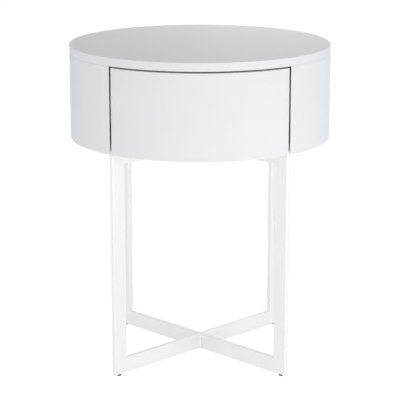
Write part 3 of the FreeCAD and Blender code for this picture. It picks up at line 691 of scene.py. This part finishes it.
class TABLE_OT_frames(TableOperator, bpy.types.Operator):
    """Carries the tube round one long frame and two half frames that butt against it"""

    bl_idname = "table.frames"
    bl_label = "Crossed frames"

    def execute(self, context):
        sizes = self.sizes
        tube = (sizes.tube_width, sizes.tube_depth, sizes.tube_corner)
        low, high = UPRIGHT_LOW[2], UPRIGHT_HIGH[2]
        # The corner of the rounded tube that lies farthest along X gives the frame's reach
        reach = (UPRIGHT_HIGH[0] - tube[2]) * math.sqrt(2) - (tube[1] / 2 - tube[2]) + tube[2]
        butt = tube[1] / 2
        loop = ((reach, low, -1, 1), (reach, high, -1, -1),
                (-reach, high, 1, -1), (-reach, low, 1, 1))
        half = ((butt, low, 0, 1), (reach, low, -1, 1), (reach, high, -1, -1), (butt, high, 0, -1))
        material = finish_of("white_powder_coat")
        mesh_object("frame_long", [(tube_rings(loop, math.radians(45), *tube), "loop")],
                    "cabinet", material,
                    ["base_bar_long", "top_bar_long", "upright_front_left", "upright_back_right"])
        for arm, angle in (("back_left", 135), ("front_right", 315)):
            mesh_object(f"frame_{arm}", [(tube_rings(half, math.radians(angle), *tube), "flat")],
                        "cabinet", material,
                        [f"base_bar_{arm}", f"top_bar_{arm}", f"upright_{arm}"])
        return {"FINISHED"}


class TABLE_OT_welds(TableOperator, bpy.types.Operator):
    """Lays a rippled fillet of weld in each corner where the bars cross"""

    bl_idname = "table.welds"
    bl_label = "Weld beads"

    def execute(self, context):
        sizes = self.sizes
        leg, butt = sizes.weld_leg, sizes.tube_depth / 2
        rise = sizes.tube_width - 2 * sizes.tube_corner
        surfaces = []
        for low in (UPRIGHT_LOW[2], UPRIGHT_HIGH[2] - sizes.tube_width):
            for turn in np.radians((45, 135, 225, 315)):
                bead = self.bead(leg, butt, rise, low + sizes.tube_corner, turn)
                surfaces.append((bead, "flat"))
        mesh_object("weld_beads", surfaces, "cabinet",
                    finish_of("white_powder_coat"), ["crossing_welds"], crease=50.0)
        return {"FINISHED"}

    def bead(self, leg, butt, rise, low, turn):
        """Rings up a bead: a corner, sunk into both bars by the overlap, and before it an arc
        about that corner, whose radius is the bead's leg. The radius shrinks at the bead's ends
        as a quarter circle does, and by the ripple times one plus the sine of the height over
        the wave."""
        ripple, wave, overlap, steps = 0.03 * leg, 0.0011, 2e-5, 36
        height, inset = eased_ends(rise, leg / 3, steps)
        size = leg - inset - ripple * (1 + np.sin(height / wave))
        arc = np.radians(np.linspace(0, 90, 9))
        across = np.concatenate([[0.0], np.cos(arc)])
        along = np.concatenate([[0.0], np.sin(arc)])
        out = butt - overlap + size[:, None] * across
        side = butt - overlap + size[:, None] * along
        return np.stack([out * math.cos(turn) - side * math.sin(turn),
                         out * math.sin(turn) + side * math.cos(turn),
                         np.repeat(low + height[:, None], len(across), axis=1)], axis=-1)


class TABLE_OT_glides(TableOperator, bpy.types.Operator):
    """Turns the four levelling glides, each with a grip round its head"""

    bl_idname = "table.glides"
    bl_label = "Levelling glides"

    def execute(self, context):
        sizes = self.sizes
        steps, ridges, ridge_depth = 96, 12, 0.0002
        angle = np.linspace(0, 2 * np.pi, steps, endpoint=False)
        ripple = ridge_depth * (1 - np.cos(ridges * angle)) / 2
        for arm in ARMS:
            low, high = corners(f"glide_{arm}")
            radius, stem = (high[1] - low[1]) / 2, sizes.glide_stem / 2
            head, top = sizes.glide_head, high[2] - low[2]
            # Radius, height and share of the ripple: out along the foot's face, round its edge,
            # up the grip, in over the head and up the stem
            profile = np.array([
                (radius / 2, 0.0, 0), (radius - 0.0009, 0.0, 0), (radius - 0.0005, 0.0001, 0),
                (radius - 0.0002, 0.00035, 0.5), (radius, 0.0007, 1),
                (radius, head - 0.0006, 1), (radius - 0.0002, head - 0.00025, 0.6),
                (radius - 0.0006, head, 0), (stem, head, 0), (stem, head + 0.0001, 0),
                (stem, top - 0.0005, 0), (stem - 0.0004, top, 0), (stem / 2, top, 0),
            ])
            rings = turned(profile, steps, ripple)
            middle = (low + high) / 2
            rings = rings + np.array([middle[0], middle[1], low[2]])
            mesh_object(f"levelling_glide_{arm}", [(rings, "pole")], f"glide_{arm}",
                        finish_of("black_nylon"), [f"glide_{arm}"])
        return {"FINISHED"}


class TABLE_OT_balls(TableOperator, bpy.types.Operator):
    """Makes the runners' balls truly round: rings of latitude, with a tiny one at each pole"""

    bl_idname = "table.balls"
    bl_label = "Runner balls"

    def execute(self, context):
        radius, pitch = self.sizes.ball / 2, self.sizes.ball_pitch
        around, bands, cap = 24, 12, 0.02
        tilt = np.concatenate([[cap], np.linspace(0, np.pi, bands + 1)[1:-1], [np.pi - cap]])
        angle = np.linspace(0, 2 * np.pi, around, endpoint=False)
        sphere = radius * np.stack([np.outer(np.sin(tilt), np.cos(angle)),
                                    np.outer(np.sin(tilt), np.sin(angle)),
                                    np.outer(np.cos(tilt), np.ones(around))], axis=-1)
        for side in SIDES:
            for row in ROWS:
                node = f"runner_{side}_{row}_balls"
                low, high = corners(node)
                middle = (low + high) / 2
                levels = (low[2] + radius, high[2] - radius)
                centres = [(middle[0], middle[1] + step * pitch, level)
                           for step in (-1, 0, 1) for level in levels]
                surfaces = [(sphere + np.array(centre), "pole") for centre in centres]
                mesh_object(f"balls_{side}_{row}", surfaces, f"runner_{side}_{row}_row",
                            finish_of("bright_steel"), [node], crease=60.0)
        return {"FINISHED"}


class TABLE_OT_runners(TableOperator, bpy.types.Operator):
    """Rounds the edges of the runners' members and cages"""

    bl_idname = "table.runners"
    bl_label = "Runners"

    def execute(self, context):
        edge = self.sizes.metal_edge
        for side in SIDES:
            for part in ("cabinet_member", "middle_member", "drawer_member"):
                eased_copy(f"runner_{side}_{part}", edge)
            for row in ROWS:
                eased_copy(f"runner_{side}_{row}_cage", edge / 2)
        return {"FINISHED"}


class TABLE_OT_screws(TableOperator, bpy.types.Operator):
    """Sets two pan-head screws in each drawer member"""

    bl_idname = "table.screws"
    bl_label = "Runner screws"

    def execute(self, context):
        sizes = self.sizes
        radius = sizes.screw_head / 2
        for side, way in zip(SIDES, (-1, 1)):
            low, high = corners(f"runner_{side}_drawer_member")
            board = corners(f"drawer_side_{side}")[0 if way < 0 else 1][0]
            seat = board + way * sizes.member
            surfaces = [(self.head(radius, way) + np.array([seat, place, (low[2] + high[2]) / 2]),
                         "pole")
                        for place in (low[1] + sizes.screw_inset, high[1] - sizes.screw_inset)]
            mesh_object(f"runner_screws_{side}", surfaces, "drawer",
                        finish_of("zinc_steel"), crease=40.0)
        return {"FINISHED"}

    def head(self, radius, way):
        """A domed head about the X axis. Its height above the seat is half its radius times the
        root of one less the fourth power of the distance out, as a share of the radius. A cross
        sinks into it, deepest along its two middle lines and shallower to their ends."""
        underside, tip = [0.5, 0.97], [0.03]
        over = np.sqrt(np.linspace(1.0, 0.0, 30))[:-1]
        share = np.concatenate([underside, over, tip])
        turn = np.linspace(0, 2 * np.pi, 72, endpoint=False)
        along = radius * np.outer(share, np.cos(turn))
        up = radius * np.outer(share, np.sin(turn))
        dome = radius / 2 * np.sqrt(1 - share ** 4)
        dome[:len(underside)] = 0.0
        # The depth is full to a quarter of the width from an arm's middle line and to 0.375 of
        # its reach, and fades evenly to nothing at 1.25 of the width and at the whole reach
        cross_width, cross_reach, cross_depth = 0.16 * radius, 0.58 * radius, 0.42 * radius
        near = np.minimum(np.abs(along), np.abs(up)) / cross_width
        far = np.maximum(np.abs(along), np.abs(up)) / cross_reach
        sunk = cross_depth * np.clip(1.25 - near, 0, 1) * np.clip(1.6 * (1 - far), 0, 1)
        sunk[:len(underside) + 1] = 0.0
        return np.stack([way * (dome[:, None] - sunk), along, up], axis=-1)


class TABLE_OT_fittings(TableOperator, bpy.types.Operator):
    """Rounds the edges of the bolts, the nuts and the push latch"""

    bl_idname = "table.fittings"
    bl_label = "Fittings"

    def execute(self, context):
        edge = self.sizes.metal_edge
        for node in ("frame_bolts", "glide_nuts"):
            eased_copy(node, edge)
        for node in ("latch_spacer", "latch_housing", "latch_plunger"):
            eased_copy(node, 3 * edge, segments=3)
        return {"FINISHED"}


class TABLE_OT_boards(TableOperator, bpy.types.Operator):
    """Rounds the edges of the boards inside the drum and of the drawer's box"""

    bl_idname = "table.boards"
    bl_label = "Boards"

    def execute(self, context):
        for node in ("partition_left", "partition_right", "drawer_side_left", "drawer_side_right",
                     "drawer_back", "drawer_bottom", "glue_block_left", "glue_block_right"):
            eased_copy(node, self.sizes.board_edge)
        return {"FINISHED"}


class TABLE_OT_floor(TableOperator, bpy.types.Operator):
    """Turns the drum's floor, set back at the front behind the drawer front"""

    bl_idname = "table.floor"
    bl_label = "Drum floor"

    def execute(self, context):
        sizes = self.sizes
        radius, setback = FLOOR_HIGH[1], FLOOR_HIGH[1] + FLOOR_LOW[1]
        edge, low, high = sizes.board_edge, FLOOR_LOW[2], FLOOR_HIGH[2]
        arcs = np.concatenate([quarter((radius - edge, low + edge), edge, -90, 0),
                               quarter((radius - edge, high - edge), edge, 0, 90)])
        flats = np.array([(radius / 2, low), (radius - 2 * edge, low),
                          (radius - 2 * edge, high), (radius / 2, high)])
        profile = np.concatenate([flats[:2], arcs, flats[2:]])
        follows = np.ones((len(profile), 1))
        follows[[0, -1]] = 0.0
        turn = np.linspace(0, 2 * np.pi, sizes.round_steps, endpoint=False)
        opening = (np.sin(turn) < 0) & (np.abs(radius * np.cos(turn)) < FRONT_HIGH[0])
        rings = turned(np.concatenate([profile, follows], axis=1), sizes.round_steps,
                       np.where(opening, setback, 0.0))
        mesh_object("drum_floor", [(rings, "pole")], "cabinet",
                    finish_of("white_lacquer"), ["floor_panel"])
        return {"FINISHED"}


class TABLE_OT_studio(TableOperator, bpy.types.Operator):
    """Sets up the camera, the lamps and the pale floor with its backdrop"""

    bl_idname = "table.studio"
    bl_label = "Studio"

    def execute(self, context):
        studio = context.scene.table_studio
        self.camera(context.scene, studio)
        for name, (place, upright) in LAMPS.items():
            self.lamp(f"{name}_lamp", place, upright, getattr(studio, name))
        self.floor(studio)
        self.surroundings(context.scene, studio)
        context.scene.view_settings.view_transform = "Standard"
        return {"FINISHED"}

    def camera(self, scene, studio):
        """A camera straight in front of the table, that looks down by the pitch."""
        data = bpy.data.cameras.new("camera")
        data.lens = studio.lens
        data.sensor_width = SENSOR_MM
        data.clip_end = 50.0
        camera = bpy.data.objects.new("camera", data)
        camera.location = (0.0, -studio.distance, studio.height)
        camera.rotation_euler = (math.pi / 2 - studio.pitch, 0.0, 0.0)
        scene.collection.objects.link(camera)
        scene.camera = camera

    def lamp(self, name, place, upright, watts):
        """A wide lamp of the given upright size, that faces the middle of the table."""
        data = bpy.data.lights.new(name, "AREA")
        data.shape = "RECTANGLE"
        data.size = LAMP_WIDTH
        data.size_y = upright
        data.energy = watts
        lamp = bpy.data.objects.new(name, data)
        towards = np.array(LAMP_AIM) - np.array(place)
        lamp.location = place
        lamp.rotation_euler = self.facing(towards)
        lamp.visible_camera = False
        bpy.context.collection.objects.link(lamp)

    def facing(self, towards):
        """Angles that turn a lamp's -Z axis to a direction: a tilt from straight down about X,
        and then a turn about Z."""
        flat = math.hypot(towards[0], towards[1])
        tilt = math.atan2(flat, -towards[2])
        return (tilt, 0.0, math.atan2(-towards[0], towards[1]))

    def floor(self, studio):
        """A floor that runs up into a backdrop: a strip whose profile is flat, just below the
        feet, then a quarter circle, then upright, carried along X."""
        front, bend, radius, top, drop = -6.0, 3.0, 1.5, 5.0, 0.0001
        rise = np.concatenate([[(front, -drop), (bend, -drop)],
                               quarter((bend, radius - drop), radius, -90, 0, 16)[1:],
                               [(bend + radius, top)]])
        width = np.array([-8.0, 8.0])
        grid = np.stack([np.repeat(width[None, :], len(rise), axis=0),
                         np.repeat(rise[:, :1], 2, axis=1),
                         np.repeat(rise[:, 1:2], 2, axis=1)], axis=-1)
        index = np.arange(len(rise) - 1)[:, None] * 2
        faces = index + np.array([[0, 1, 3, 2]])
        mesh = bpy.data.meshes.new("floor")
        mesh.from_pydata(grid.reshape(-1, 3).tolist(), [], faces.tolist())
        mesh.shade_smooth()
        mesh.materials.append(self.floor_finish(tuple(studio.floor)))
        floor = bpy.data.objects.new("floor", mesh)
        bpy.context.collection.objects.link(floor)
        floor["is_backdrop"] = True

    def floor_finish(self, tone):
        """Pale paper. The camera and mirrors see most of it at full white, and the rest as lit
        paper, so that it keeps the table's shadow."""
        share, strength = 0.8, 1.16
        finish = Finish("pale_paper")
        finish.tint(finish.noise(3.0), tone, change=0.004)
        finish.shader.inputs["Roughness"].default_value = 0.9
        glow = finish.add("ShaderNodeEmission")
        glow.inputs["Strength"].default_value = strength
        mix = finish.add("ShaderNodeMixShader")
        finish.join(seen_directly(finish.tree, share), mix.inputs["Fac"])
        finish.join(finish.shader.outputs["BSDF"], mix.inputs[1])
        finish.join(glow.outputs["Emission"], mix.inputs[2])
        finish.join(mix.outputs["Shader"], finish.output.inputs["Surface"])
        return finish.material

    def surroundings(self, scene, studio):
        """White for the camera and for mirrors, and a plain grey level for all other light."""
        world = bpy.data.worlds.new("surroundings")
        world.use_nodes = True
        tree = world.node_tree
        tree.nodes.clear()
        output = tree.nodes.new("ShaderNodeOutputWorld")
        background = tree.nodes.new("ShaderNodeBackground")
        background.inputs["Color"].default_value = (1.0, 1.0, 1.0, 1.0)
        level = tree.nodes.new("ShaderNodeMapRange")
        level.inputs["To Min"].default_value = studio.ambient
        level.inputs["To Max"].default_value = 1.0
        tree.links.new(seen_directly(tree, 1.0), level.inputs["Value"])
        tree.links.new(level.outputs["Result"], background.inputs["Strength"])
        tree.links.new(background.outputs["Background"], output.inputs["Surface"])
        scene.world = world


def seen_directly(tree, share):
    """A share for rays from the camera, from a mirror or through glass, and 0 for all others."""
    path = tree.nodes.new("ShaderNodeLightPath")
    value = path.outputs["Is Camera Ray"]
    for name in ("Is Glossy Ray", "Is Transmission Ray"):
        larger = tree.nodes.new("ShaderNodeMath")
        larger.operation = "MAXIMUM"
        tree.links.new(value, larger.inputs[0])
        tree.links.new(path.outputs[name], larger.inputs[1])
        value = larger.outputs["Value"]
    scaled = tree.nodes.new("ShaderNodeMath")
    scaled.operation = "MULTIPLY"
    scaled.inputs[1].default_value = share
    tree.links.new(value, scaled.inputs[0])
    return scaled.outputs["Value"]


OPERATORS = (TABLE_OT_top, TABLE_OT_wall, TABLE_OT_front, TABLE_OT_floor, TABLE_OT_boards,
             TABLE_OT_runners, TABLE_OT_balls, TABLE_OT_screws, TABLE_OT_fittings,
             TABLE_OT_frames, TABLE_OT_welds, TABLE_OT_glides, TABLE_OT_studio)


class TABLE_PT_panel(bpy.types.Panel):
    """Lists the pieces of the table, and the sizes and colours to change"""

    bl_label = "Bedside table"
    bl_idname = "TABLE_PT_panel"
    bl_space_type = "VIEW_3D"
    bl_region_type = "UI"
    bl_category = "Table"

    def draw(self, context):
        layout = self.layout
        for operator in OPERATORS:
            layout.operator(operator.bl_idname)
        for group in (context.scene.table_sizes, context.scene.table_colours,
                      context.scene.table_studio):
            box = layout.box()
            for name in group.__annotations__:
                box.prop(group, name)


GROUPS = {"table_sizes": TableSizes, "table_colours": TableColours, "table_studio": StudioSettings}


def register():
    for group in (*GROUPS.values(), *OPERATORS, TABLE_PT_panel):
        bpy.utils.register_class(group)
    for name, group in GROUPS.items():
        setattr(bpy.types.Scene, name, PointerProperty(type=group))


def unregister():
    for name in GROUPS:
        delattr(bpy.types.Scene, name)
    for group in (TABLE_PT_panel, *reversed(OPERATORS), *GROUPS.values()):
        bpy.utils.unregister_class(group)


def main():
    """Makes every piece in turn."""
    register()
    for operator in OPERATORS:
        family, name = operator.bl_idname.split(".")
        getattr(getattr(bpy.ops, family), name)()


if __name__ == "__main__":
    main()
